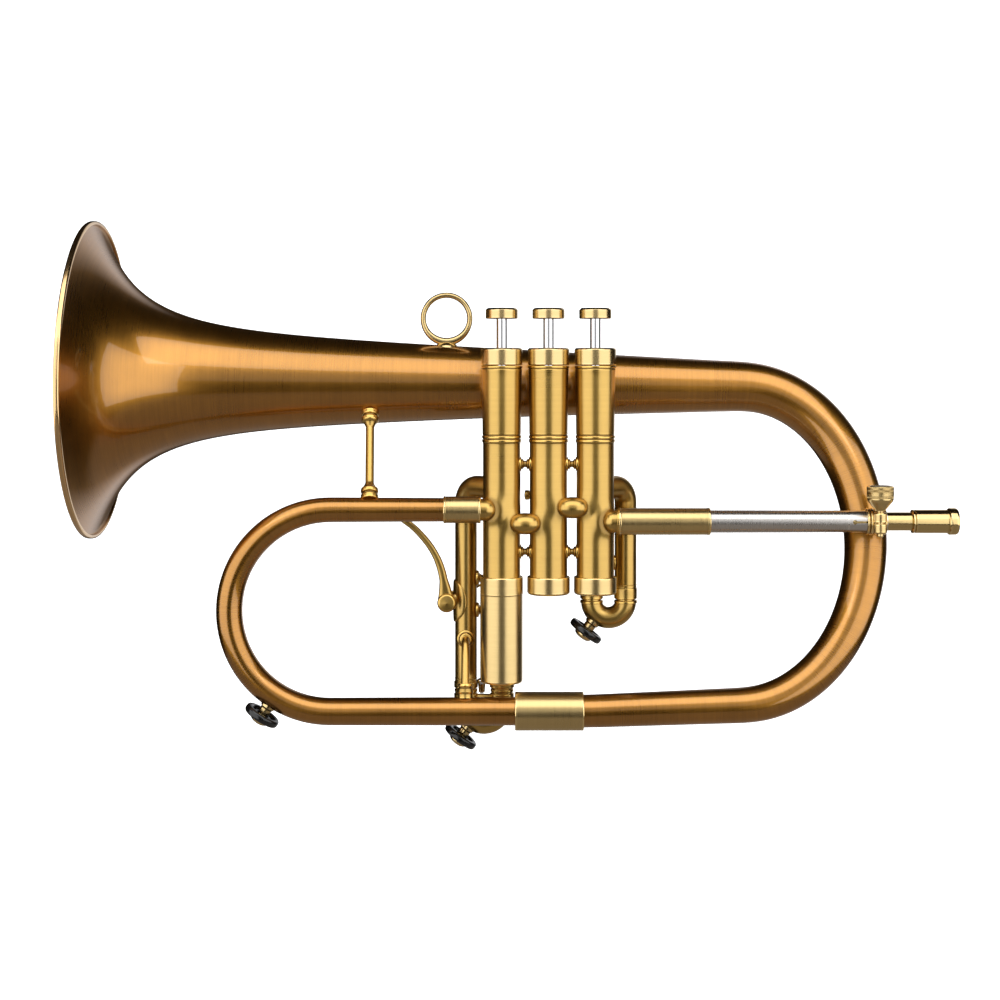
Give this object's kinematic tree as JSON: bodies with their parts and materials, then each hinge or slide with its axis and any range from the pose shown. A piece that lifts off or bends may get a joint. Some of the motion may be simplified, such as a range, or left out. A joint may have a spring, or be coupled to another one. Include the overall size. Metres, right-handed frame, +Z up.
{
  "type": "flugelhorn",
  "caption": "Wide-bore brass wind instrument with a flared bell, piston valves, pull-out slides, a trigger, ring water keys and a clamped tuning receiver.",
  "frame": {"origin": "on the axis of valve 2, halfway up the valve block, where the left hand holds the instrument", "axes": "+X from the bell to the mouthpiece end, +Z up the valves to the finger buttons, -Y towards the player's left"},
  "size_m": [0.4291, 0.1598, 0.2641],
  "materials": {
    "rose_brass": "dark antique rose brass, brushed round the tube under clear lacquer",
    "antique_brass": "antique yellow brass, satin brushed and lacquered",
    "polished_brass": "light yellow brass, finely turned or polished",
    "nickel_silver": "satin nickel silver",
    "polished_steel": "polished steel",
    "black_rubber": "moulded black, satin"
  },
  "bodies": {
    "horn": {"bell": "rose_brass", "bell_bow": "rose_brass", "front_bow": "rose_brass", "front_ferrule": "antique_brass", "bell_brace": "antique_brass", "valve_bell_brace": "antique_brass", "valve_casing_1": "antique_brass", "valve_casing_2": "antique_brass", "valve_casing_3": "antique_brass", "crossover_12": "antique_brass", "crossover_23": "antique_brass", "casing_brace_12_upper": "antique_brass", "casing_brace_12_lower": "antique_brass", "casing_brace_23_upper": "antique_brass", "casing_brace_23_lower": "antique_brass", "first_slide_leg_near": "antique_brass", "first_slide_leg_far": "antique_brass", "third_slide_leg_near": "antique_brass", "third_slide_leg_far": "antique_brass", "trigger_saddle": "antique_brass", "front_bow_brace": "antique_brass", "mouthpipe_sleeve": "antique_brass", "clamp_collar": "antique_brass", "bow_ferrule": "polished_brass", "finger_ring": "polished_brass", "top_cap_1": "polished_brass", "top_cap_2": "polished_brass", "top_cap_3": "polished_brass", "bottom_cap_1": "polished_brass", "bottom_cap_2": "polished_brass", "bottom_cap_3": "polished_brass", "valve_guide_1": "polished_brass", "valve_guide_2": "polished_brass", "valve_guide_3": "polished_brass", "water_key_body_front": "polished_brass", "mouthpipe": "nickel_silver", "valve_spring_1": "polished_steel", "valve_spring_2": "polished_steel", "valve_spring_3": "polished_steel"},
    "valve_1": {"piston_1": "nickel_silver", "stem_1": "polished_steel", "finger_button_1": "polished_brass"},
    "valve_2": {"piston_2": "nickel_silver", "stem_2": "polished_steel", "finger_button_2": "polished_brass"},
    "valve_3": {"piston_3": "nickel_silver", "stem_3": "polished_steel", "finger_button_3": "polished_brass"},
    "first_slide": {"first_slide_bow": "antique_brass", "water_key_body_first": "polished_brass"},
    "first_water_key": {"water_key_ring_first": "black_rubber"},
    "second_slide": {"second_slide_bow": "antique_brass"},
    "trigger": {"trigger_lever": "antique_brass"},
    "third_slide": {"third_slide_bow": "antique_brass", "trigger_link": "polished_steel", "water_key_body_third": "polished_brass"},
    "third_water_key": {"water_key_ring_third": "black_rubber"},
    "front_water_key": {"water_key_ring_front": "black_rubber"},
    "receiver": {"tuning_receiver": "polished_brass"},
    "thumbscrew": {"clamp_thumbscrew": "polished_brass"}
  },
  "joints": [
    {"name": "valve_1_press", "type": "slide", "parent": "horn", "child": "valve_1", "axis": [0, 0, -1], "range_m": [0, 0.014], "stiffness_N_per_m": 150, "springref_m": -0.015, "deforming": ["valve_spring_1"]},
    {"name": "valve_2_press", "type": "slide", "parent": "horn", "child": "valve_2", "axis": [0, 0, -1], "range_m": [0, 0.014], "stiffness_N_per_m": 150, "springref_m": -0.015, "deforming": ["valve_spring_2"]},
    {"name": "valve_3_press", "type": "slide", "parent": "horn", "child": "valve_3", "axis": [0, 0, -1], "range_m": [0, 0.014], "stiffness_N_per_m": 150, "springref_m": -0.015, "deforming": ["valve_spring_3"]},
    {"name": "first_slide_pull", "type": "slide", "parent": "horn", "child": "first_slide", "axis": [0, 0, -1], "range_m": [0, 0.02]},
    {"name": "second_slide_pull", "type": "slide", "parent": "horn", "child": "second_slide", "axis": [0, 1, 0], "range_m": [0, 0.015]},
    {"name": "trigger_squeeze", "type": "hinge", "parent": "horn", "child": "trigger", "pos_m": [-0.0502, 0.0168, -0.0649], "axis": [0, 1, 0], "range_deg": [0, 35], "stiffness_Nm_per_rad": 0.04, "springref_deg": -34.38},
    {"name": "third_slide_extend", "type": "slide", "parent": "horn", "child": "third_slide", "axis": [0, 0, -1], "range_m": [0, 0.0114]},
    {"name": "receiver_tune", "type": "slide", "parent": "horn", "child": "receiver", "axis": [1, 0, 0], "range_m": [-0.01, 0.015]},
    {"name": "thumbscrew_turn", "type": "hinge", "parent": "horn", "child": "thumbscrew", "pos_m": [0.1594, -0.0158, -0.0177], "axis": [0, 0, 1], "range_deg": [0, 360]},
    {"name": "front_water_key_push", "type": "slide", "parent": "horn", "child": "front_water_key", "axis": [0.5452, 0, 0.8383], "range_m": [0, 0.0015], "stiffness_N_per_m": 500, "springref_m": -0.0015},
    {"name": "first_water_key_push", "type": "slide", "parent": "first_slide", "child": "first_water_key", "axis": [0.6, 0, 0.8], "range_m": [0, 0.0015], "stiffness_N_per_m": 500, "springref_m": -0.0015},
    {"name": "third_water_key_push", "type": "slide", "parent": "third_slide", "child": "third_water_key", "axis": [0.6, 0, 0.8], "range_m": [0, 0.0015], "stiffness_N_per_m": 500, "springref_m": -0.0015}
  ],
  "couplings": [
    {"joint": "trigger_squeeze", "follows": "third_slide_extend", "rad_per_m": 53.47}
  ]
}
